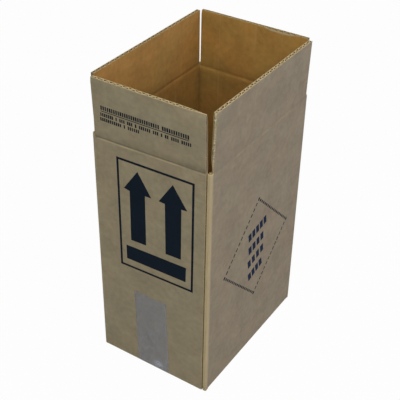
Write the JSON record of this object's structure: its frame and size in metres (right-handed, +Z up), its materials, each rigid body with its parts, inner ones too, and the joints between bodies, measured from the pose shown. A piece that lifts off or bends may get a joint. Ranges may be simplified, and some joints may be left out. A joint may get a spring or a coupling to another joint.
{
  "type": "cardboard shipper box",
  "caption": "Tall corrugated shipper for a gallon can, open, with a taped bottom and hinged top flaps.",
  "frame": {"origin": "on the floor under the middle of the four walls, on the underside of the tape", "axes": "+X right along the short front panel, +Y back along the long panels, +Z up; the front panel faces -Y"},
  "size_m": [0.1469, 0.2064, 0.3669],
  "materials": {
    "board_walls": "matt unbleached kraft",
    "board_flaps": "matt unbleached kraft",
    "tape": "grey see-through film"
  },
  "bodies": {
    "box": {"box_body": "board_walls", "bottom_tape": "tape"},
    "front_flap": {"front_flap": "board_flaps"},
    "right_flap": {"right_flap": "board_flaps"},
    "back_flap": {"back_flap": "board_flaps"},
    "left_flap": {"left_flap": "board_flaps"}
  },
  "joints": [
    {"name": "front_flap_crease", "type": "hinge", "parent": "box", "child": "front_flap", "pos_m": [0, -0.10085, 0.2955], "axis": [-1, 0, 0], "range_deg": [-167.1, 92.9]},
    {"name": "right_flap_crease", "type": "hinge", "parent": "box", "child": "right_flap", "pos_m": [0.0731, 0, 0.2998], "axis": [0, -1, 0], "range_deg": [-169.2, 90.8]},
    {"name": "back_flap_crease", "type": "hinge", "parent": "box", "child": "back_flap", "pos_m": [0, 0.10085, 0.2955], "axis": [1, 0, 0], "range_deg": [-169, 91]},
    {"name": "left_flap_crease", "type": "hinge", "parent": "box", "child": "left_flap", "pos_m": [-0.0731, 0, 0.2998], "axis": [0, 1, 0], "range_deg": [-170, 90]}
  ]
}
